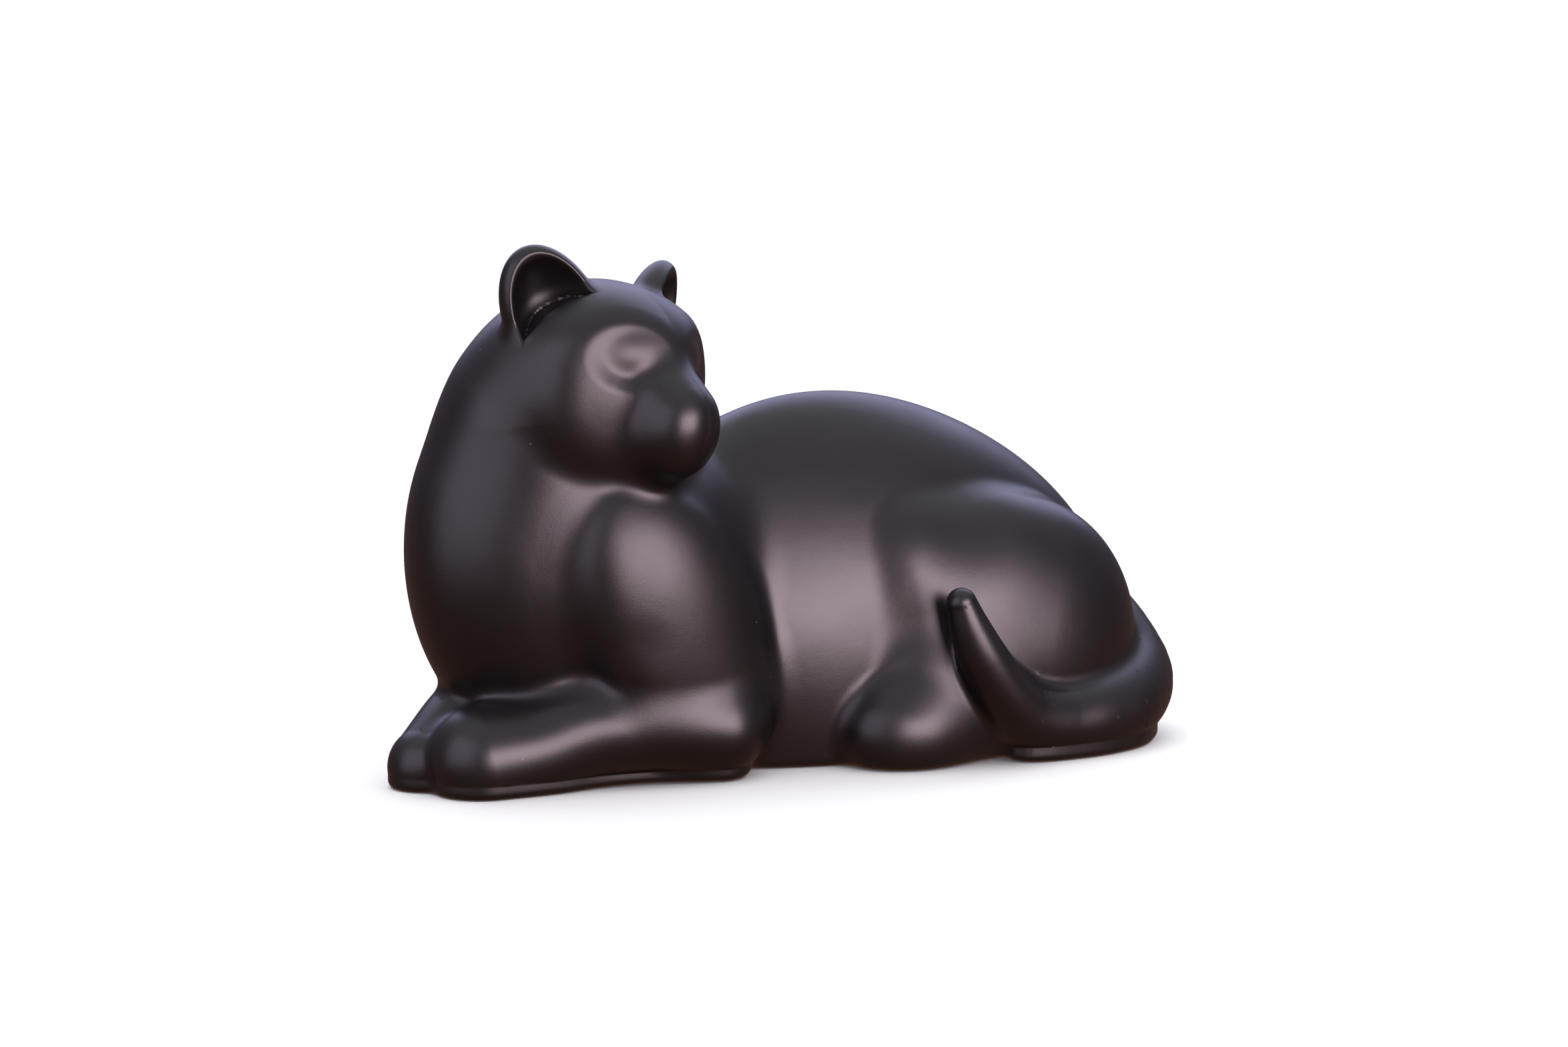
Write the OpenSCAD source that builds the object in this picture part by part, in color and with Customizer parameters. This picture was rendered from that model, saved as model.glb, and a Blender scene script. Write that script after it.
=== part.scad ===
// Glazed ceramic figurine of a cat lying down with its head turned to its left.
// Millimetres. +Z is up and the figurine stands on Z = 0. The cat's chest points
// along -X, its rump along +X, and its left side, with the tail, faces -Y.
// The origin is on the underside of the base, below the front of the back.
//
// The figurine is built as a potter builds it: two hollow castings, torso and head,
// with solid ears, forelegs, hind paws and tail luted on, and a slab with a vent
// hole that closes the torso from below. Luted pieces meet face to face.
//
// Torso and head are each a few ellipsoids and limbs melted together. A field
// function gives the distance outside the melted form, and skins are found by
// searching along rays for the distance zero, or minus the wall for the hollow.

/* [Castings] */
// Wall thickness of the hollow torso and head
wall = 5; // [3:0.5:7]
// Thickness of the closing slab
slab_t = 6; // [4:0.5:9]
// Diameter of the vent hole in the slab
vent_d = 12; // [6:1:20]

/* [Body] */
// Length of the chest along the body
chest_l = 101; // [95:1:107]
// Width of the chest
chest_w = 82; // [78:1:90]
// Height of the back above the base
back_z = 131; // [126:1:134]
// Length of the rump
rump_l = 187; // [180:1:192]
// Width of the rump
rump_w = 106; // [98:1:112]
// Height of the rump above the base
rump_z = 115; // [110:1:119]

/* [Head] */
// Length of the skull, forehead to nape
skull_l = 77; // [74:1:80]
// Width of the skull
skull_w = 77; // [74:1:80]
// Height of the skull
skull_h = 65; // [62:1:68]
// Direction the face looks in, measured around Z from +X
face_yaw = -70; // [-78:1:-62]
// Sideways tilt of the head, left ear down
head_roll = 5; // [0:1:10]
// Half height of an ear
ear_h = 25.5; // [22:0.5:28]
// Half width of an ear
ear_w = 18.5; // [15:0.5:20]
// Thickness of an ear's rim
ear_t = 3; // [2.5:0.5:4]

/* [Limbs] */
// Thickness of a foreleg
foreleg_d = 35; // [31:1:38]
// Length of a hind paw
hind_paw_l = 54; // [46:1:58]
// Thickness of the tail where it leaves the rump
tail_root_d = 48; // [44:1:50]
// Thickness of the tail at its tip
tail_tip_d = 11; // [9:1:14]

/* [Hidden] */

glaze = [0.13, 0.12, 0.14];   // satin black glaze
clay = [0.50, 0.42, 0.36];    // bare fired clay

spine_y = 13;                 // the backbone lies this far towards the right side
block = 400;                  // side of the blocks that cut forms off
sections = 44;                // cross-sections along the torso, and along the head
spokes = 44;                  // points around each cross-section
search_steps = 15;            // halvings of the search along a ray
search_from = 150;            // longest ray

// How widely the forms of the body and the face melt into each other
body_blend = 30;
neck_blend = 18;
limb_blend = 14;
crease_blend = 6;
cheek_blend = 12;
face_blend = 8;
muzzle_blend = 15;
face_edge = 4;

// Ellipsoids of the torso: [centre, half-axes]
chest = [[-86, spine_y + 5.5, 79], [chest_l/2, chest_w/2, 70]];
brisket = [[-60, spine_y, 20], [42, 26, 50]];
ribs = [[21, spine_y + 2, 44], [92, 38, back_z - 44]];
rump = [[60, spine_y + 4, 33], [rump_l/2, rump_w/2, rump_z - 33]];
left_shoulder = [[-58, -6, 73], [30, 22, 32]];
left_haunch = [[86, -20, 38], [52, 33, 55]];
left_thigh = [[54, -20, 42], [38, 26, 54]];
left_hock = [[48, -29, 20], [30, 23, 28]];
right_haunch = [[66, 46, 38], [62, 24, 60]];
// Left upper arm: an ellipsoid that leans towards the chest, around its own centre
left_arm_at = [-55, -24, 50];
left_arm = [[0, 0, 0], [28, 13, 56]];
left_arm_lean = 24;
// Limbs: [one end, other end, radius there, radius here]
neck = [[-77.5, 13.5, 95], [-85.5, 12, 131], 29.5, 33.5];
right_arm = [[-66, 38, 74], [-60, 42, 24], 20, 19];

// Head, from its own centre: forward, to the cat's left, up
head_at = [-72, 0, 137];
skull = [[-4, 0, 4], [skull_l/2, skull_w/2, skull_h/2]];
brow = [[6.5, 6, 8], [27, 26.5, 21]];
cheek = [[9, 11, -7], [24, 24, 24]];
jaw = [[20, 0, -20], [22, 10.5, 13]];
muzzle = [[36, 0, -13], [12, 11, 12.5]];
nose_bridge = [[16, 0, 6], [38, 0, -8], 11, 6.5];
// Each side of the face is a flat part of the skull, almost a plane
face_side_at = [-53.7, -29.7, 2.5];
face_side_r = 95;

// Joint between head and neck: a plane that slopes down towards the chin
neck_joint_at = [-30, 0, 120];
neck_joint_tilt = 24;

ear_at = [0.5, 24.5, 20];     // left ear, from the head's centre
ear_turn = 30;                // the ear opens this far outwards of straight ahead
ear_lean = [0.1, 0.32];       // forward and outward, for each millimetre up
ear_depth = 10.5;
bowl_depth = 13;
ear_facets = 32;

left_leg = [[-40, -22, 18], [-66, -16, 20], [-86, -10.5, 18.5], [-104, -7.5, 13.5], [-120, -4, 11]];
left_leg_d = foreleg_d*[0.97, 0.97, 1, 1, 1.09];
right_leg = [[-68, 40, 22], [-91, 34, 19.5], [-109, 25, 18], [-133, 14, 7]];
right_leg_d = foreleg_d*[1.14, 1.03, 1.09, 0.8];

left_paw_at = [33, -32, 12];
right_paw_at = [14, 54, 14];
hind_paw_r = [hind_paw_l/2, 21, 21];

// Tail: from behind the rump, along the left side of the base, up over the haunch
tail_path = [[121, 17, 45], [133, 2, 35], [136, -21, 22], [122, -39, 16], [104, -47, 13.5],
             [86, -49, 13], [70, -51, 17], [58, -55, 27], [49, -57, 39], [43, -57, 50], [39, -57, 60]];
// Its thickness there, from 1 at the root to 0 at the tip
tail_taper = [0.97, 1, 0.78, 0.6, 0.5, 0.43, 0.38, 0.27, 0.19, 0.11, 0];

// Melts two distances together over a radius r
function melt(a, b, r) = let (h = max(r - abs(a - b), 0)) min(a, b) - h*h/(4*r);

// What is inside both, with the edge between them rounded
function trim(a, b, r) = -melt(-a, -b, r);

// A vector seen from axes that lean by angle a from +Z towards -X
function leaned(v, a) = [cos(a)*v.x + sin(a)*v.z, v.y, cos(a)*v.z - sin(a)*v.x];

function sq(v) = [for (c = v) c*c];
function ratio(a, b) = [for (i = [0 : 2]) a[i]/b[i]];

// Distance of p outside an ellipsoid [centre, half-axes]
function off_form(p, form) =
    let (q = p - form[0],
         a = norm(ratio(q, form[1])),
         b = norm(ratio(q, sq(form[1]))))
    b == 0 ? -min(form[1]) : a*(a - 1)/b;

// Distance of p outside a limb [end, end, radius, radius]
function off_limb(p, limb) =
    let (q = p - limb[0],
         axis = limb[1] - limb[0],
         t = min(max(q*axis/(axis*axis), 0), 1))
    norm(q - t*axis) - limb[2] - t*(limb[3] - limb[2]);

// Distance of p outside the torso
function off_torso(p) =
    let (front = melt(off_form(p, chest), off_limb(p, neck), neck_blend),
         middle = melt(front, off_form(p, ribs), body_blend),
         trunk = melt(middle, off_form(p, rump), body_blend),
         breast = melt(trunk, off_form(p, brisket), limb_blend),
         shoulder = melt(breast, off_form(p, left_shoulder), limb_blend),
         arm = off_form(leaned(p - left_arm_at, left_arm_lean), left_arm),
         arms = melt(melt(shoulder, arm, crease_blend), off_limb(p, right_arm), crease_blend),
         thigh = melt(off_form(p, left_haunch), off_form(p, left_thigh), limb_blend),
         leg = melt(thigh, off_form(p, left_hock), limb_blend))
    melt(melt(arms, leg, crease_blend), off_form(p, right_haunch), limb_blend);

// Distance of p outside the head, from the head's centre
function off_head(p) =
    let (q = [p.x, abs(p.y), p.z],
         cheeks = melt(off_form(p, skull), off_form(q, cheek), cheek_blend),
         full = melt(cheeks, off_form(q, brow), face_blend),
         cranium = trim(full, norm(q - face_side_at) - face_side_r, face_edge),
         bridged = melt(cranium, off_limb(p, nose_bridge), face_blend),
         jawed = melt(bridged, off_form(p, jaw), face_blend))
    melt(jawed, off_form(p, muzzle), muzzle_blend);

// How far a ray from `from` along `way` runs before it is -inset outside the field
function reach(field, from, way, inset, low = 0, high = search_from, n = search_steps) =
    let (mid = (low + high)/2)
    n == 0 ? mid
    : field(from + way*mid) + inset < 0 ? reach(field, from, way, inset, mid, high, n - 1)
    : reach(field, from, way, inset, low, mid, n - 1);

// A closed skin over rings of points, each ring with as many points
module skin(rings) {
    n = len(rings[0]);
    last = len(rings) - 1;
    polyhedron(
        points = [for (ring = rings) each ring],
        faces = [
            [for (i = [0 : n - 1]) i],
            for (r = [0 : last - 1], i = [0 : n - 1])
                let (a = r*n + i, b = r*n + (i + 1)%n)
                each [[a, a + n, b], [b, a + n, b + n]],
            [for (i = [n - 1 : -1 : 0]) last*n + i]
        ]);
}

// The torso, or the hollow in it at `inset` below its skin: upright sections
// along a straight line from the rump to the chest, closer together at the ends
module torso_form(inset = 0) {
    tail_end = rump[0] + [rump_l/2 - inset, 0, 0];
    chest_end = chest[0] - [chest_l/2 - inset, 0, 0];
    skin([for (s = [1 : sections - 1])
        let (t = (1 - cos(180*s/sections))/2,
             centre = tail_end + t*(chest_end - tail_end))
        [for (i = [0 : spokes - 1])
            let (a = 360*i/spokes, way = [0, sin(a), cos(a)])
            centre + way*reach(off_torso_at, centre, way, inset)]]);
}

// The head, or the hollow in it: rings around the line from nose to nape
module head_form(inset = 0)
    head_place() skin([for (s = [1 : sections - 1])
        let (tilt = 180*s/sections)
        [for (i = [0 : spokes - 1])
            let (a = 360*i/spokes, way = [cos(tilt), sin(tilt)*sin(a), sin(tilt)*cos(a)])
            way*reach(off_head_at, [0, 0, 0], way, inset)]]);

off_torso_at = function (p) off_torso(p);
off_head_at = function (p) off_head(p);

// Puts a piece that is drawn from the head's centre in its place
module head_place()
    translate(head_at) rotate([0, 0, face_yaw]) rotate([-head_roll, 0, 0]) children();

// Joins faceted forms into one mesh, and changes no size
module one_mesh()
    resize([0, 0, 0]) children();

// A point on a smooth curve through a list of points, at t from 0 to len - 1
function along(path, t) =
    let (i = min(floor(t), len(path) - 2),
         f = t - i,
         p0 = path[max(i - 1, 0)], p1 = path[i],
         p2 = path[i + 1], p3 = path[min(i + 2, len(path) - 1)])
    p1 + f/2*(p2 - p0 + f*(2*p0 - 5*p1 + 4*p2 - p3 + f*(3*p1 - p0 - 3*p2 + p3)));

// A rounded limb along a path, with a diameter at each point of the path
module limb(path, dia, parts = 4, facets = 28) {
    steps = parts*(len(path) - 1);
    for (s = [0 : steps - 1])
        hull() for (t = [s, s + 1]/parts)
            translate(along(path, t)) sphere(d = along(dia, t), $fn = facets);
}

// Everything above a height
module above(z)
    translate([-block/2, -block/2, z]) cube(block);

// Everything above the joint between neck and head
module above_neck_joint()
    translate(neck_joint_at) rotate([neck_joint_tilt, 0, 0])
        translate([-block, -block/2, 0]) cube(block);

// The head with the top of the neck, as a full solid
module head_solid() {
    head_form();
    intersection() {
        torso_form();
        above_neck_joint();
    }
}

// The torso below the neck joint as a full solid, flat underneath
module torso_solid()
    difference() {
        intersection() {
            torso_form();
            above(0);
        }
        above_neck_joint();
        head_form();
    }

// The hollow inside the torso and the head
module cavity() {
    head_form(wall);
    intersection() {
        torso_form(wall);
        above(slab_t);
    }
}

// Outline of the closing slab: round in front, wide under the haunches
module slab_outline()
    polygon([for (a = [0 : 5 : 355])
        let (waist = 29 + 7*cos(a) - 3*cos(2*a))
        [24 + 94*cos(a), spine_y + waist*sin(a)]]);

module torso_casting()
    color(glaze) one_mesh() difference() {
        torso_solid();
        cavity();
        translate([0, 0, -1]) linear_extrude(slab_t + 2) slab_outline();
    }

module head_casting()
    color(glaze) one_mesh() difference() {
        head_solid();
        cavity();
    }

// A leaning ellipsoid with a bowl in it, open along +X
module ear_shell()
    multmatrix([[1, 0, ear_lean[0], 0], [0, 1, ear_lean[1], 0], [0, 0, 1, 0]])
        difference() {
            translate([-3, 0, 0]) scale([ear_depth, ear_w, ear_h]) sphere(1, $fn = ear_facets);
            translate([7, 0, 0])
                scale([bowl_depth, ear_w - ear_t, ear_h - ear_t]) sphere(1, $fn = ear_facets);
        }

// A cupped ear on the cat's left (side 1) or right (side -1)
module ear(side)
    color(glaze) one_mesh() difference() {
        head_place() mirror([0, side < 0 ? 1 : 0, 0]) translate(ear_at)
            rotate([0, 0, ear_turn]) ear_shell();
        head_solid();
    }

// A foreleg that lies forward along the base, with its paw at the front
module foreleg(path, dia)
    color(glaze) one_mesh() difference() {
        intersection() {
            limb(path, dia);
            above(0);
        }
        torso_solid();
    }

// The rounded toes of a hind foot, below the haunch
module hind_paw(at)
    color(glaze) one_mesh() difference() {
        intersection() {
            translate(at) scale(hind_paw_r) sphere(1, $fn = ear_facets);
            above(0);
        }
        torso_solid();
    }

module tail()
    color(glaze) one_mesh() difference() {
        intersection() {
            limb(tail_path, [for (k = tail_taper) tail_tip_d + k*(tail_root_d - tail_tip_d)], parts = 3);
            above(0);
        }
        torso_solid();
    }

// Closing slab, let into the torso from below and flush with its underside
module base_slab()
    color(clay) difference() {
        linear_extrude(slab_t) slab_outline();
        translate([60, spine_y, -1]) cylinder(h = slab_t + 2, d = vent_d, $fn = 48);
    }

torso_casting();
head_casting();
ear(1);  // left_ear
ear(-1);  // right_ear
foreleg(left_leg, left_leg_d);  // left_foreleg
foreleg(right_leg, right_leg_d);  // right_foreleg
hind_paw(left_paw_at);  // left_hind_paw
hind_paw(right_paw_at);  // right_hind_paw
tail();
base_slab();
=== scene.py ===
"""A black-glazed cat in slip-cast ceramic, lying down with its head turned to its left.

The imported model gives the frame. The skin of each casting is sculpted here as a distance field in
millimetres, measured from the middle of the base: X runs along the body from head to tail, Y across
it towards the far side, Z up.
"""
import math

import bmesh
import bpy
import numpy as np
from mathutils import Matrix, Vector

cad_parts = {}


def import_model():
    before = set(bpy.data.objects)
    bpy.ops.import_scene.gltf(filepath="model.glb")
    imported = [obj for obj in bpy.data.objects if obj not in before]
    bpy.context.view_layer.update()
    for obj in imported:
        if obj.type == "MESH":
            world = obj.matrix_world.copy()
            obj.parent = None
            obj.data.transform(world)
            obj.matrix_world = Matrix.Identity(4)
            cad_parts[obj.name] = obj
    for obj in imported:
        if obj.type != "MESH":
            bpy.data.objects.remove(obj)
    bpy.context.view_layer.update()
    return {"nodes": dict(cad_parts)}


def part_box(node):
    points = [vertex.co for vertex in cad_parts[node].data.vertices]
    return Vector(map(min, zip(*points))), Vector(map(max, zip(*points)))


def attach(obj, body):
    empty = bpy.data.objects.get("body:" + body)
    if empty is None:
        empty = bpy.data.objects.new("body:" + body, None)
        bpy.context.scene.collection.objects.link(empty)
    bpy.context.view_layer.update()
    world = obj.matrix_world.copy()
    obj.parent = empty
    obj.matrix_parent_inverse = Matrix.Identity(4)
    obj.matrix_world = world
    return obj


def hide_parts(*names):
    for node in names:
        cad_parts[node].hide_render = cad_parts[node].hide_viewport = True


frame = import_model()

MM = 0.001
SLAB_LOW, SLAB_HIGH = (np.array(corner)/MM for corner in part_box("base_slab"))
BODY = np.array([*(SLAB_LOW + SLAB_HIGH)[:2]/2, SLAB_LOW[2]])
SLAB_TOP = SLAB_HIGH[2] - SLAB_LOW[2]

# ---------------------------------------------------------------------------- the sculpture's sizes

WALL = 5.0            # thickness of the cast wall
SEAT = 2.5            # how far a limb is let into the torso's wall
EAR_SEAT = 2.0        # how far an ear is let into the head's wall
LIMB_SPREAD = 8       # how far a limb's piece may spread over the fillet around it
EAR_SPREAD = 6        # the same for an ear
BASE_ROUND = 3.0      # rounding of every edge that meets the floor
SLAB_LEDGE = 1.0      # how far the hollow's floor lies above the slab
NECK_JOINT_HEIGHT = 126.0
NECK_JOINT_TILT = 24.0
NECK_JOINT_BACK = -54.0

# Rounded masses of the body: centre, then half sizes.
CHEST = (-110, 5.5, 79), (50.5, 41, 70)
BRISKET = (-84, 0, 20), (42, 26, 50)
RIBS = (-3, 2, 44), (92, 38, 87)
RUMP = (36, 4, 33), (94, 53, 82)
LEFT_SHOULDER = (-82, -19, 73), (30, 22, 32)
LEFT_HAUNCH = (62, -33, 38), (52, 33, 55)
LEFT_THIGH = (30, -33, 42), (37, 25, 53)
THIGH_CORNER = 3.5
LEFT_HOCK = (24, -42, 20), (30, 23, 28)
# The upper arm slants back and down, so its long half size is along its own leaning Z.
LEFT_ARM_AT = (-79, -37, 50)
LEFT_ARM_SLANT = 24.0
LEFT_ARM = (28, 12, 50)
LEFT_ARMPIT = (-99, -52, 46), (12, 10, 12)
RIGHT_HAUNCH = (42, 33, 38), (62, 24, 60)
LEFT_HIND_PAW = (9, -45, 12), (27, 22, 22)
RIGHT_HIND_PAW = (-10, 41, 14), (24, 18, 20)

# Tapered limbs: one end and its radius, then the other end and its radius.
NECK = (-101.5, 0.5, 95), 29.5, (-109.5, -1, 131), 33.5
RIGHT_ARM = (-90, 25, 74), 20, (-84, 29, 24), 19

# Curved limbs: each station is a centre and a radius.
LEFT_FORELEG = [(-64, -35, 18, 17), (-90, -29, 20, 17), (-110, -23.5, 18.5, 17.5),
                (-128, -20.5, 13.5, 17.5), (-144, -17, 11, 19)]
RIGHT_FORELEG = [(-92, 27, 22, 20), (-115, 21, 19.5, 18), (-133, 12, 18, 19), (-157, 1, 7, 14)]
TAIL = [(97, 4, 45, 23.5), (109, -11, 35, 25), (112, -34, 22, 20), (98, -52, 16, 16.5),
        (80, -60, 13.5, 14.5), (62, -62, 13, 13.5), (46, -64, 17, 12.5), (34, -68, 27, 10.5),
        (25, -70, 39, 9), (19, -70, 50, 7.5), (15, -70, 60, 5.5)]

# The head has its own axes: X to the nose, Y to the cat's left cheek, Z to the crown.
HEAD_AT = (-96, -13, 137)
HEAD_TURN = -70.0
HEAD_TILT = -5.0
SKULL = (-4, 0, 4), (38.5, 38.5, 32.5)
BROW = (6.5, 6, 8), (27, 26.5, 21)
CHEEK = (9, 11, -7), (24, 24, 24)
# Each side of the face is flattened: part of a large ball.
FACE_SIDE_AT = (-53.7, -29.7, 2.5)
FACE_SIDE = 95.0
JAW = (20, 0, -20), (22, 10.5, 13)
MUZZLE_AT = (36.5, 2, -13)
MUZZLE_TURN = 35.0
MUZZLE = (10, 9.5, 12)
BRIDGE = (16, 0, 6), 11, (38, 0, -8), 6.5
EYE_AT = (28.4, 15.4, 10)
EYE_TURN = 32.0
EYE_SOCKET = (4, 0, 0), (5, 16, 12)
EYEBALL = (-4, 0, 0), (4.4, 10, 7)
# The ear leans out and forward. Seen from the front it is an upright half ellipse.
EAR_AT = (0.5, 24.5, 20)
EAR_TURN = 30.0
EAR_LEAN_OUT = 0.32
EAR_LEAN_FORWARD = 0.1
EAR_SHELL = (-3, 0, 0), (10.5, 18.5, 25.5)
EAR_BOWL = (7, 0, 0), (13, 15.5, 23)
EAR_POCKET = 3.0      # how deep the bowl goes into the head
EAR_RIDGE = 4.5       # how far forward it goes there

# Fillets where two forms melt into each other.
NECK_FILLET = 18
TRUNK_FILLET = 30
BRISKET_FILLET = 14
SHOULDER_FILLET = 22
ARMPIT_FILLET = 12
LEFT_ARM_FILLET = 13
RIGHT_ARM_FILLET = 8
THIGH_FILLET = 14
HOCK_FILLET = 12
HAUNCH_FILLET = 12
LEG_CREASE = 5
LIMB_FILLETS = {"left_foreleg": 7, "right_foreleg": 5, "left_hind_paw": 6, "right_hind_paw": 4,
                "tail": 4}
CHEEK_FILLET = 12
BROW_FILLET = 8
FACE_SIDE_EDGE = 4
EYE_FILLET = 3
BRIDGE_FILLET = 8
JAW_FILLET = 9
MUZZLE_FILLET = 15
EAR_RIM = 3           # rounding of the bowl's edge
EAR_POCKET_EDGE = 2
EAR_FILLET = 4
HEAD_FILLET = 8

# How low a limb keeps its round section. Below this it flattens out onto the floor.
FORELEG_FLAT = 5
TAIL_FLAT = 6

# ---------------------------------------------------------------------------- distance fields

TINY = 1e-9           # keeps a division by zero away
FAR = 1e9
KNOTS = 4             # straight pieces to a span, for a first guess at a rope's nearest point


def length(v):
    """Of each row."""
    return np.sqrt(np.einsum("ij,ij->i", v, v))


def melt(a, b, radius):
    """Two forms joined, with a fillet of about that radius between them."""
    near = np.maximum(radius - np.abs(a - b), 0.0)
    return np.minimum(a, b) - near*near/(4*radius)


def trim(a, b, radius):
    """Only what is inside both, with the edge rounded."""
    return -melt(-a, -b, radius)


def carve(a, b, radius):
    """a with b scooped out of it, and the edge rounded."""
    return -melt(-a, b, radius)


def axes(turn, lean=0.0, nod=0.0):
    """Rows are the turned X, Y and Z: turned about Z, then leaned about X, then nodded about Y."""
    turn, lean, nod = np.radians([turn, lean, nod])
    x = np.array([math.cos(turn), math.sin(turn), 0])
    y = np.array([-math.sin(turn), math.cos(turn), 0])
    z = np.array([0, 0, 1.0])
    y, z = math.cos(lean)*y + math.sin(lean)*z, math.cos(lean)*z - math.sin(lean)*y
    x, z = math.cos(nod)*x + math.sin(nod)*z, math.cos(nod)*z - math.sin(nod)*x
    return np.array([x, y, z])


def mass(p, centre, half, corner=2.0):
    """An ellipsoid. Above 2, its outline seen along Y has squarer corners."""
    half = np.asarray(half, float)
    x, y, z = (np.abs(p - centre)/half + TINY).T
    side = (x**corner + z**corner)**(1/corner)
    k = np.hypot(side, y)
    rise = np.stack([side/k*(x/side)**(corner - 1), y/k, side/k*(z/side)**(corner - 1)], 1)
    return (k - 1)/length(rise/half)


def bone(p, start, start_radius, end, end_radius):
    """A tapered rod with round ends."""
    axis = np.subtract(end, start)
    q = p - start
    t = np.clip(q @ axis/(axis @ axis), 0, 1)
    return length(q - t[:, None]*axis) - start_radius - t*(end_radius - start_radius)


def rope(p, stations, floor):
    """A tube through the stations, which flattens out below the height of floor."""
    pts = np.asarray(stations, float)
    p = np.column_stack([p[:, :2], np.maximum(p[:, 2], floor)])
    pad = np.vstack([2*pts[0] - pts[1], pts, 2*pts[-1] - pts[-2]])
    p0, p1, p2, p3 = pad[:-3], pad[1:-2], pad[2:-1], pad[3:]
    bend = (2*p0 - 5*p1 + 4*p2 - p3)/2
    twist = (3*p1 - p0 - 3*p2 + p3)/2
    cubic = np.stack([p1, (p2 - p0)/2, bend, twist], 1)
    spans = len(cubic)

    def curve(at):
        """Centre and radius at a place along the rope, and how fast they change there."""
        i = np.clip(at.astype(int), 0, spans - 1)
        f = (at - i)[:, None]
        k = cubic[i]
        centre = k[:, 0] + f*(k[:, 1] + f*(k[:, 2] + f*k[:, 3]))
        return centre, k[:, 1] + f*(2*k[:, 2] + 3*f*k[:, 3])

    knots, _ = curve(np.arange(0, spans*KNOTS + 1)/KNOTS)
    best = np.full(len(p), FAR)
    at = np.zeros(len(p))
    for i, (a, b) in enumerate(zip(knots[:-1], knots[1:])):
        axis = b[:3] - a[:3]
        q = p - a[:3]
        u = np.clip(q @ axis/(axis @ axis), 0, 1)
        d = length(q - u[:, None]*axis) - a[3] - u*(b[3] - a[3])
        closer = d < best
        best[closer] = d[closer]
        at[closer] = (i + u[closer])/KNOTS
    for _ in range(2):
        centre, along = curve(at)
        step = np.einsum("ij,ij->i", p - centre[:, :3], along[:, :3])
        speed = np.maximum(np.einsum("ij,ij->i", along[:, :3], along[:, :3]), TINY)
        at = np.clip(at + step/speed, 0, spans)
    centre, _ = curve(at)
    return length(p - centre[:, :3]) - centre[:, 3]


def near_only(low, high, field, margin=18.0):
    """The field near a box. Further away, where it makes no difference, the distance to the box."""
    low, high = np.asarray(low, float), np.asarray(high, float)

    def limited(p):
        gap = np.maximum(np.maximum(low - p, p - high), 0)
        d = length(gap) + margin/2
        near = (gap < margin).all(1)
        if near.any():
            d[near] = field(p[near])
        return d
    return limited


def rope_limb(stations, floor):
    """A rope that costs nothing to work out far away from it."""
    reach = np.array([[x, y, z] for x, y, z, _ in stations])
    radius = max(station[3] for station in stations)
    return near_only(reach.min(0) - radius, reach.max(0) + radius, lambda p: rope(p, stations, floor))


# ---------------------------------------------------------------------------- the cat's parts

LIMBS = {
    "left_foreleg": rope_limb(LEFT_FORELEG, FORELEG_FLAT),
    "right_foreleg": rope_limb(RIGHT_FORELEG, FORELEG_FLAT),
    "left_hind_paw": lambda p: mass(p, *LEFT_HIND_PAW),
    "right_hind_paw": lambda p: mass(p, *RIGHT_HIND_PAW),
    "tail": rope_limb(TAIL, TAIL_FLAT),
}
ARM_AXES = axes(0, 0, LEFT_ARM_SLANT)


def trunk(p):
    """Body, neck and upper limbs, without the forelegs, paws and tail."""
    d = mass(p, *CHEST)
    d = melt(d, bone(p, *NECK), NECK_FILLET)
    d = melt(d, mass(p, *RIBS), TRUNK_FILLET)
    d = melt(d, mass(p, *RUMP), TRUNK_FILLET)
    d = melt(d, mass(p, *BRISKET), BRISKET_FILLET)
    d = melt(d, mass(p, *LEFT_SHOULDER), SHOULDER_FILLET)
    d = carve(d, mass(p, *LEFT_ARMPIT), ARMPIT_FILLET)
    d = melt(d, mass((p - LEFT_ARM_AT) @ ARM_AXES.T, (0, 0, 0), LEFT_ARM), LEFT_ARM_FILLET)
    d = melt(d, bone(p, *RIGHT_ARM), RIGHT_ARM_FILLET)
    thigh = melt(mass(p, *LEFT_HAUNCH), mass(p, *LEFT_THIGH, THIGH_CORNER), THIGH_FILLET)
    d = melt(d, melt(thigh, mass(p, *LEFT_HOCK), HOCK_FILLET), LEG_CREASE)
    return melt(d, mass(p, *RIGHT_HAUNCH), HAUNCH_FILLET)


HEAD_AXES = axes(HEAD_TURN, HEAD_TILT)
EAR_AXES = axes(EAR_TURN)
EYE_AXES = axes(EYE_TURN)
MUZZLE_AXES = axes(MUZZLE_TURN)


def in_head(p):
    return (p - HEAD_AT) @ HEAD_AXES.T


def both_sides(q):
    return np.column_stack([q[:, 0], np.abs(q[:, 1]), q[:, 2]])


def skull(p):
    """The head without its ears."""
    q = in_head(p)
    m = both_sides(q)
    d = mass(q, *SKULL)
    d = melt(d, mass(m, *CHEEK), CHEEK_FILLET)
    d = melt(d, mass(m, *BROW), BROW_FILLET)
    d = trim(d, length(m - FACE_SIDE_AT) - FACE_SIDE, FACE_SIDE_EDGE)
    e = (m - EYE_AT) @ EYE_AXES.T
    d = carve(d, mass(e, *EYE_SOCKET), EYE_FILLET)
    d = melt(d, mass(e, *EYEBALL), EYE_FILLET)
    d = melt(d, bone(q, *BRIDGE), BRIDGE_FILLET)
    d = melt(d, mass(q, *JAW), JAW_FILLET)
    pad = mass((m - MUZZLE_AT) @ MUZZLE_AXES.T, (0, 0, 0), MUZZLE)
    return melt(d, pad, MUZZLE_FILLET)


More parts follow.
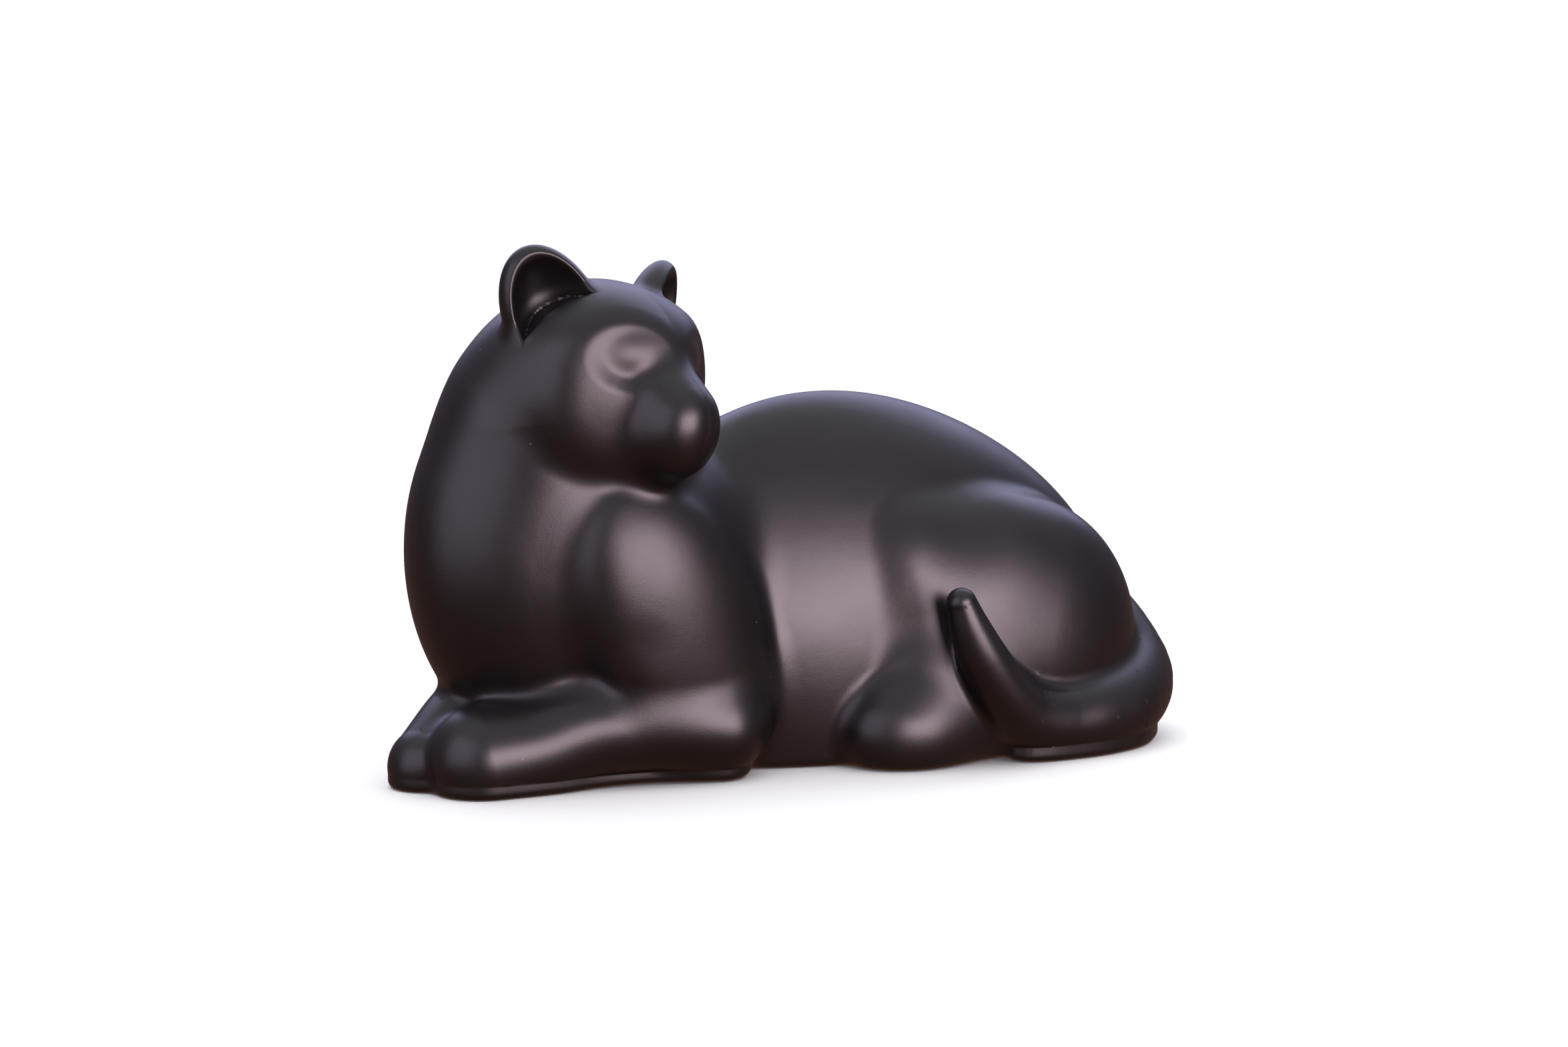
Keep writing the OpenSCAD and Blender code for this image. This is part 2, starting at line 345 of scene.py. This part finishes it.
def in_ear(p, side):
    """The point on an upright ear's own axes, X out of its bowl. Side is 1 for left, -1 for right."""
    e = (in_head(p)*(1, side, 1) - EAR_AT) @ EAR_AXES.T
    return e - e[:, 2:]*(EAR_LEAN_FORWARD, EAR_LEAN_OUT, 0)


def ear_shell(p, side):
    return mass(in_ear(p, side), *EAR_SHELL)


def ear(p, side):
    e = in_ear(p, side)
    return carve(mass(e, *EAR_SHELL), mass(e, *EAR_BOWL), EAR_RIM)


def ear_pocket(p, side):
    """Where the bowl of the ear goes on into the head, behind a ridge."""
    e = in_ear(p, side)
    return np.maximum.reduce([mass(e, *EAR_BOWL), e[:, 0] - EAR_RIDGE, -skull(p) - EAR_POCKET])


HEAD_REACH = np.array([60, 60, 60])     # from the head's middle to beyond the tips of its ears


def near_head(field):
    return near_only(HEAD_AT - HEAD_REACH, HEAD_AT + HEAD_REACH, field)


head = near_head(skull)
ears = near_head(lambda p: np.minimum(ear(p, 1), ear(p, -1)))
ear_pockets = near_head(lambda p: np.minimum(ear_pocket(p, 1), ear_pocket(p, -1)))


def cat(p):
    """The whole outer skin."""
    d = melt(trunk(p), head(p), HEAD_FILLET)
    d = melt(d, ears(p), EAR_FILLET)
    d = carve(d, ear_pockets(p), EAR_POCKET_EDGE)
    for name, fillet in LIMB_FILLETS.items():
        d = melt(d, LIMBS[name](p), fillet)
    return trim(d, -p[:, 2], BASE_ROUND)


def hollow(p):
    """The space that the slip was poured out of, from just above the base slab to the crown."""
    return np.maximum(np.minimum(trunk(p), head(p)) + WALL, SLAB_TOP + SLAB_LEDGE - p[:, 2])


def limb_share(name):
    """What belongs to a limb: all that is nearer to it than to anything else, and its seat."""
    own = LIMBS[name]
    rest = [field for other, field in LIMBS.items() if other != name]

    def share(p):
        d = own(p)
        body = trunk(p)
        others = np.minimum.reduce([body] + [field(p) for field in rest])
        return np.maximum.reduce([d - others, -body - SEAT, d - LIMB_SPREAD])
    return share


def ear_share(side):
    """What belongs to an ear, and its seat in the head."""
    def share(p):
        d = ear_shell(p, side)
        crown = skull(p)
        return np.maximum.reduce([d - crown, -crown - EAR_SEAT, d - EAR_SPREAD])
    return share


# ---------------------------------------------------------------------------- from field to mesh

TILE = 4              # places along the side of a tile
TILE_REACH = 6.5      # in steps: the surface passes through no tile whose middle is further off
GENTLE = 0.2          # the least squared slope that a point's way to the surface is worked out from
ON_SKIN = 0.15        # how near to the outer skin a vertex counts as part of it
FACING = 0.5          # how well a face has to agree with the skin's own slope to be shaded by it


def slope(field, p, reach=0.05):
    """The field's gradient, which points straight out of the surface."""
    return np.column_stack([field(p + step) - field(p - step) for step in np.eye(3)*reach])/(2*reach)


def net(field, low, high, step, settle=True):
    """Points and four-sided faces on the surface where the field is zero.

    The field is worked out once in each tile of the grid, and at every place in the tiles that
    the surface may pass through. Each cell with corners inside and outside gets one point.
    """
    low = np.asarray(low, float)
    tiles = np.ceil((np.asarray(high) - low)/(TILE*step)).astype(int)
    tile = np.indices(tiles).reshape(3, -1).T
    middle = field(low + (tile*TILE + (TILE - 1)/2)*step)
    value = middle.reshape(tiles).repeat(TILE, 0).repeat(TILE, 1).repeat(TILE, 2)
    inner = np.indices((TILE, TILE, TILE)).reshape(3, -1).T
    fine = (tile[np.abs(middle) < TILE_REACH*step][:, None]*TILE + inner).reshape(-1, 3)
    value[tuple(fine.T)] = field(low + fine*step)
    value[[0, -1]] = value[:, [0, -1]] = value[:, :, [0, -1]] = step
    shape = value.shape
    flat = value.ravel()
    stride = np.array([shape[1]*shape[2], shape[2], 1])
    total = np.zeros((flat.size, 3))
    count = np.zeros(flat.size)
    faces = []
    for axis in range(3):
        a, b = (axis + 1) % 3, (axis + 2) % 3
        here = np.flatnonzero((flat[:-stride[axis]] < 0) != (flat[stride[axis]:] < 0))
        there = here + stride[axis]
        at = np.stack(np.unravel_index(here, shape), 1).astype(float)
        at[:, axis] += flat[here]/(flat[here] - flat[there])
        cells = [here, here - stride[a], here - stride[a] - stride[b], here - stride[b]]
        for cell in cells:
            for k in range(3):
                total[:, k] += np.bincount(cell, at[:, k], flat.size)
            count += np.bincount(cell, minlength=flat.size)
        quad = np.stack(cells, 1)
        outward = flat[here] < 0
        faces.append(np.where(outward[:, None], quad, quad[:, ::-1]))
    used = np.flatnonzero(count)
    points = low + total[used]/count[used, None]*step
    index = np.zeros(flat.size, int)
    index[used] = np.arange(len(used))
    if settle:
        out = slope(field, points)
        out /= np.maximum((out*out).sum(1), GENTLE)[:, None]
        for _ in range(3):
            points -= np.clip(field(points)[:, None]*out, -step/2, step/2)
    return points, index[np.concatenate(faces)]


def solid(name, points, faces):
    """An object from points in the sculpture's millimetres."""
    mesh = bpy.data.meshes.new(name)
    mesh.from_pydata(((points + BODY)*MM).tolist(), [], faces.tolist())
    obj = bpy.data.objects.new(name, mesh)
    bpy.context.scene.collection.objects.link(obj)
    return obj


def combined(obj, tool, operation):
    """The object with only what it shares with the tool, or without it. The tool stays."""
    cut = obj.modifiers.new("cut", "BOOLEAN")
    cut.operation = operation
    cut.solver = "MANIFOLD"
    cut.object = tool
    graph = bpy.context.evaluated_depsgraph_get()
    made = bpy.data.meshes.new_from_object(obj.evaluated_get(graph))
    obj.modifiers.remove(cut)
    old = obj.data
    obj.data = made
    bpy.data.meshes.remove(old)
    made.name = obj.name


def discard(obj):
    mesh = obj.data
    bpy.data.objects.remove(obj)
    bpy.data.meshes.remove(mesh)


def polish(obj):
    """Shades the skin by the field's own slope, so that no seam shows, and the hidden faces flat."""
    mesh = obj.data
    count = len(mesh.vertices)
    points = np.empty(count*3)
    mesh.vertices.foreach_get("co", points)
    points = points.reshape(-1, 3)/MM - BODY
    out = slope(cat, points)
    out /= np.maximum(length(out), TINY)[:, None]
    on_skin = np.abs(cat(points)) < ON_SKIN
    corner = np.empty(len(mesh.loops), int)
    mesh.loops.foreach_get("vertex_index", corner)
    starts = np.empty(len(mesh.polygons), int)
    totals = np.empty(len(mesh.polygons), int)
    mesh.polygons.foreach_get("loop_start", starts)
    mesh.polygons.foreach_get("loop_total", totals)
    flat = np.empty(len(mesh.polygons)*3)
    mesh.polygons.foreach_get("normal", flat)
    face_of = np.repeat(np.arange(len(starts)), totals)
    flat = flat.reshape(-1, 3)[face_of]
    corner_out = out[corner]
    good = on_skin[corner] & ((corner_out*flat).sum(1) > FACING)
    skin_face = np.bincount(face_of, ~good, len(starts)) == 0
    normals = np.where(skin_face[face_of][:, None], corner_out, flat)
    mesh.polygons.foreach_set("use_smooth", np.ones(len(starts), bool))
    mesh.normals_split_custom_set(normals.tolist())


# ---------------------------------------------------------------------------- materials


def material(name):
    made = bpy.data.materials.new(name)
    made.use_nodes = True
    tree = made.node_tree
    return made, tree, tree.nodes["Principled BSDF"]


def add(tree, kind, **settings):
    """A new node with its properties and, by name, its inputs set."""
    node = tree.nodes.new(kind)
    for key, value in settings.items():
        if hasattr(node, key):
            setattr(node, key, value)
        else:
            node.inputs[key.replace("_", " ")].default_value = value
    return node


def ranged(tree, value, low, high, to_low, to_high):
    """A value from low to high, stretched over to_low to to_high."""
    node = add(tree, "ShaderNodeMapRange")
    for key, number in (("From Min", low), ("From Max", high), ("To Min", to_low), ("To Max", to_high)):
        node.inputs[key].default_value = number
    tree.links.new(value, node.inputs["Value"])
    return node.outputs[0]


def bumped(tree, height, distance, strength, under=None):
    node = add(tree, "ShaderNodeBump", Distance=distance, Strength=strength)
    tree.links.new(height, node.inputs["Height"])
    if under is not None:
        tree.links.new(under, node.inputs["Normal"])
    return node.outputs[0]


def black_glaze():
    """Satin black glaze: a slow ripple, a fine grain and specks of kiln dust."""
    made, tree, shader = material("black_glaze")
    where = add(tree, "ShaderNodeTexCoord").outputs["Object"]

    def noise(per_metre, detail):
        node = add(tree, "ShaderNodeTexNoise", Scale=per_metre, Detail=detail)
        tree.links.new(where, node.inputs["Vector"])
        return node.outputs["Fac"]

    ripple = noise(90, 2)
    grain = noise(1500, 3)
    patches = noise(25, 4)
    cells = add(tree, "ShaderNodeTexVoronoi", Scale=140)
    tree.links.new(where, cells.inputs["Vector"])
    chosen = add(tree, "ShaderNodeSeparateColor")
    tree.links.new(cells.outputs["Color"], chosen.inputs[0])
    dot = add(tree, "ShaderNodeMath", operation="MULTIPLY")
    tree.links.new(ranged(tree, cells.outputs["Distance"], 0.05, 0.035, 0, 1), dot.inputs[0])
    tree.links.new(ranged(tree, chosen.outputs[0], 0.93, 0.94, 0, 1), dot.inputs[1])
    tint = add(tree, "ShaderNodeMix", data_type="RGBA")
    tint.inputs[6].default_value = (0.008, 0.0065, 0.0075, 1)
    tint.inputs[7].default_value = (0.30, 0.28, 0.27, 1)
    tree.links.new(dot.outputs[0], tint.inputs[0])
    tree.links.new(tint.outputs[2], shader.inputs["Base Color"])
    tree.links.new(ranged(tree, patches, 0.3, 0.7, 0.34, 0.42), shader.inputs["Roughness"])
    skin_bump = bumped(tree, ripple, 0.0006, 0.12)
    tree.links.new(bumped(tree, grain, 0.00006, 0.35, skin_bump), shader.inputs["Normal"])
    return made


def bare_clay():
    """Fired clay without glaze: warm and mottled, with a sandy tooth."""
    made, tree, shader = material("bare_clay")
    where = add(tree, "ShaderNodeTexCoord").outputs["Object"]
    mottle = add(tree, "ShaderNodeTexNoise", Scale=60, Detail=4)
    sand = add(tree, "ShaderNodeTexNoise", Scale=1200, Detail=3)
    tree.links.new(where, mottle.inputs["Vector"])
    tree.links.new(where, sand.inputs["Vector"])
    tint = add(tree, "ShaderNodeMix", data_type="RGBA")
    tint.inputs[6].default_value = (0.25, 0.17, 0.12, 1)
    tint.inputs[7].default_value = (0.42, 0.31, 0.23, 1)
    tree.links.new(mottle.outputs["Fac"], tint.inputs[0])
    tree.links.new(tint.outputs[2], shader.inputs["Base Color"])
    tree.links.new(ranged(tree, sand.outputs["Fac"], 0.3, 0.7, 0.75, 0.95), shader.inputs["Roughness"])
    tree.links.new(bumped(tree, sand.outputs["Fac"], 0.0002, 0.5), shader.inputs["Normal"])
    return made


GLAZE = black_glaze()
CLAY = bare_clay()

# ---------------------------------------------------------------------------- the pieces

COARSE = 1.0
# Grid steps in millimetres. Cutters and the hollow are plain shapes and need no fine grid.
STEPS = {"torso_casting": 1.4, "head_casting": 0.8, "left_ear": 0.5, "right_ear": 0.5,
         "left_foreleg": 0.9, "right_foreleg": 1.0, "left_hind_paw": 0.9, "right_hind_paw": 1.0,
         "tail": 0.9}
SHARES = {name: limb_share(name) for name in LIMBS}
SHARES["left_ear"] = ear_share(1)
SHARES["right_ear"] = ear_share(-1)
CUTTER_STEP = 1.5
HOLLOW_STEP = 3.0
ROOM = 12.0           # left around each piece's place in the frame
BELOW = -4.0          # the lowest that a skin's grid goes
HOLLOW_LOW, HOLLOW_HIGH = 0, 180


def around(node):
    """The corners of a node's box in the frame, with room to spare."""
    low, high = (np.array(corner)/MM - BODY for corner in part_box(node))
    return low - ROOM, high + ROOM


def skin(node):
    """The whole outer skin around a piece, not yet cut to it."""
    low, high = around(node)
    low[2] = max(low[2], BELOW)
    return solid(node + "_skin", *net(cat, low, high, STEPS[node]*COARSE))


def cutter(node):
    """The space that belongs to a limb or an ear."""
    low, high = around(node)
    step = CUTTER_STEP*COARSE
    return solid(node + "_share", *net(SHARES[node], low, high, step, settle=False))


def neck_wedge():
    """Everything above the neck joint and in front of the withers, with room to spare outside."""
    tilt = math.tan(math.radians(NECK_JOINT_TILT))
    front, half_width, top = -180, 90, 230
    corners = [(x, y, z) for x in (front, NECK_JOINT_BACK) for y in (-half_width, half_width)
               for z in (NECK_JOINT_HEIGHT + tilt*y, top)]
    faces = [(0, 1, 3, 2), (4, 6, 7, 5), (0, 4, 5, 1), (2, 3, 7, 6), (0, 2, 6, 4), (1, 5, 7, 3)]
    return solid("neck_wedge", np.array(corners, float), np.array(faces))


def slab_pocket():
    """The base slab's own shape, carried a little below the floor so that its pocket is open.

    The slab's mesh comes with its corners split, and they are joined first.
    """
    joined, on_floor, below_floor = 0.001*MM, 0.1*MM, -2*MM
    slab = frame["nodes"]["base_slab"]
    mesh = bpy.data.meshes.new("slab_pocket")
    shape = bmesh.new()
    shape.from_mesh(slab.data)
    bmesh.ops.remove_doubles(shape, verts=shape.verts, dist=joined)
    for vertex in shape.verts:
        if vertex.co.z < on_floor:
            vertex.co.z = below_floor
    shape.to_mesh(mesh)
    shape.free()
    pocket = bpy.data.objects.new("slab_pocket", mesh)
    bpy.context.scene.collection.objects.link(pocket)
    return pocket


def place(obj, node):
    """A finished piece, which stands for that node of the frame."""
    polish(obj)
    obj.data.materials.clear()
    obj.data.materials.append(GLAZE)
    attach(obj, "root")
    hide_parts(node)


def build_cat():
    """Cuts every piece out of the one skin, so that neighbours meet without a gap."""
    low, high = around("torso_casting")
    low[2], high[2] = HOLLOW_LOW, HOLLOW_HIGH
    inside = solid("inside", *net(hollow, low, high, HOLLOW_STEP*COARSE, settle=False))
    wedge = neck_wedge()
    shares = {node: cutter(node) for node in SHARES}
    for node, share in shares.items():
        obj = skin(node)
        combined(obj, share, "INTERSECT")
        place(obj, node)
    head_piece = skin("head_casting")
    combined(head_piece, wedge, "INTERSECT")
    for node in ("left_ear", "right_ear"):
        combined(head_piece, shares[node], "DIFFERENCE")
    combined(head_piece, inside, "DIFFERENCE")
    place(head_piece, "head_casting")
    torso = skin("torso_casting")
    combined(torso, wedge, "DIFFERENCE")
    for node in LIMBS:
        combined(torso, shares[node], "DIFFERENCE")
    combined(torso, inside, "DIFFERENCE")
    pocket = slab_pocket()
    combined(torso, pocket, "DIFFERENCE")
    place(torso, "torso_casting")
    for tool in [inside, wedge, pocket, *shares.values()]:
        discard(tool)


def finish_slab():
    mesh = frame["nodes"]["base_slab"].data
    mesh.materials.clear()
    mesh.materials.append(CLAY)


build_cat()
finish_slab()

# ---------------------------------------------------------------------------- the studio


def face_towards(obj, aim, azimuth, elevation, distance):
    """Sets an object that looks or shines along its own -Z at a distance from aim, turned to it.

    Azimuth 0 is in front of the cat's left side, 90 is towards its tail.
    """
    azimuth, elevation = math.radians(azimuth), math.radians(elevation)
    back = np.array([math.sin(azimuth)*math.cos(elevation), -math.cos(azimuth)*math.cos(elevation),
                     math.sin(elevation)])
    obj.location = np.array(aim) + back*distance
    obj.rotation_euler = (math.pi/2 - elevation, 0, azimuth)


def camera():
    """At the front left of the cat, a little above it."""
    data = bpy.data.cameras.new("camera")
    data.lens = 60.41
    data.sensor_width = 36
    data.clip_start = 0.05
    data.clip_end = 50
    obj = bpy.data.objects.new("camera", data)
    face_towards(obj, aim=(0, 0, 0.085), azimuth=-30, elevation=6, distance=0.95)
    bpy.context.scene.collection.objects.link(obj)
    bpy.context.scene.camera = obj


def floor():
    """White and a little luminous. The glaze mirrors the world below it instead."""
    mesh = bpy.data.meshes.new("floor")
    side = 12.0
    corners = [(-side, -side, 0), (side, -side, 0), (side, side, 0), (-side, side, 0)]
    mesh.from_pydata(corners, [], [(0, 1, 2, 3)])
    obj = bpy.data.objects.new("floor", mesh)
    made, tree, shader = material("pale_floor")
    shader.inputs["Base Color"].default_value = (0.9, 0.9, 0.9, 1)
    shader.inputs["Roughness"].default_value = 0.9
    shader.inputs["Emission Color"].default_value = (1, 1, 1, 1)
    shader.inputs["Emission Strength"].default_value = 0.05
    mesh.materials.append(made)
    obj.visible_glossy = False
    obj.visible_diffuse = False
    bpy.context.scene.collection.objects.link(obj)


def softbox(name, azimuth, elevation, distance, width, height, power, colour):
    """A soft light which is only mirrored: it doesn't brighten the floor."""
    data = bpy.data.lights.new(name, "AREA")
    data.shape = "RECTANGLE"
    data.size = width
    data.size_y = height
    data.energy = power
    data.color = colour
    obj = bpy.data.objects.new(name, data)
    face_towards(obj, (0, 0, 0.07), azimuth, elevation, distance)
    obj.visible_camera = False
    obj.visible_diffuse = False
    bpy.context.scene.collection.objects.link(obj)


# What the glaze mirrors, from straight down to straight up: position, then colour.
SKY = [(0.0, (0.24, 0.12, 0.08, 1)), (0.45, (0.2, 0.11, 0.09, 1)), (0.55, (0.13, 0.10, 0.12, 1)),
       (0.75, (0.18, 0.16, 0.25, 1)), (1.0, (0.8, 0.75, 1.2, 1))]


def world():
    """White to the camera. What the glaze mirrors is dark, lavender overhead and brown from below."""
    made = bpy.data.worlds.new("studio")
    made.use_nodes = True
    tree = made.node_tree
    bpy.context.scene.world = made
    where = tree.nodes.new("ShaderNodeTexCoord")
    height = tree.nodes.new("ShaderNodeSeparateXYZ")
    tree.links.new(where.outputs["Generated"], height.inputs[0])
    scale = tree.nodes.new("ShaderNodeMapRange")
    scale.inputs["From Min"].default_value = -1
    tree.links.new(height.outputs["Z"], scale.inputs["Value"])
    ramp = tree.nodes.new("ShaderNodeValToRGB")
    ramp.color_ramp.interpolation = "B_SPLINE"
    for position, colour in SKY:
        ramp.color_ramp.elements.new(position).color = colour
    ramp.color_ramp.elements.remove(ramp.color_ramp.elements[0])
    ramp.color_ramp.elements.remove(ramp.color_ramp.elements[-1])
    tree.links.new(scale.outputs[0], ramp.inputs[0])
    tree.links.new(ramp.outputs[0], tree.nodes["Background"].inputs["Color"])
    backdrop = tree.nodes.new("ShaderNodeBackground")
    backdrop.inputs["Color"].default_value = (1, 1, 1, 1)
    path = tree.nodes.new("ShaderNodeLightPath")
    mix = tree.nodes.new("ShaderNodeMixShader")
    tree.links.new(path.outputs["Is Camera Ray"], mix.inputs[0])
    tree.links.new(tree.nodes["Background"].outputs[0], mix.inputs[1])
    tree.links.new(backdrop.outputs[0], mix.inputs[2])
    tree.links.new(mix.outputs[0], tree.nodes["World Output"].inputs["Surface"])


def floor_light():
    """Even light from overhead, which whitens the floor and softens the shadow, and isn't mirrored."""
    data = bpy.data.lights.new("floor_light", "SUN")
    data.energy = 2.75
    data.angle = math.radians(110)
    obj = bpy.data.objects.new("floor_light", data)
    obj.rotation_euler = (math.radians(-8), math.radians(10), 0)
    obj.visible_glossy = False
    bpy.context.scene.collection.objects.link(obj)


camera()
floor()
world()
floor_light()
softbox("key", azimuth=6, elevation=9, distance=1.2, width=1.0, height=0.6, power=23.5,
        colour=(1, 0.79, 0.88))
softbox("fill", azimuth=-75, elevation=18, distance=1.3, width=1.4, height=1.1, power=9,
        colour=(0.9, 0.8, 1))
softbox("sky", azimuth=150, elevation=40, distance=1.6, width=2.4, height=1.2, power=17,
        colour=(0.6, 0.62, 1))
bpy.context.scene.view_settings.view_transform = "Standard"
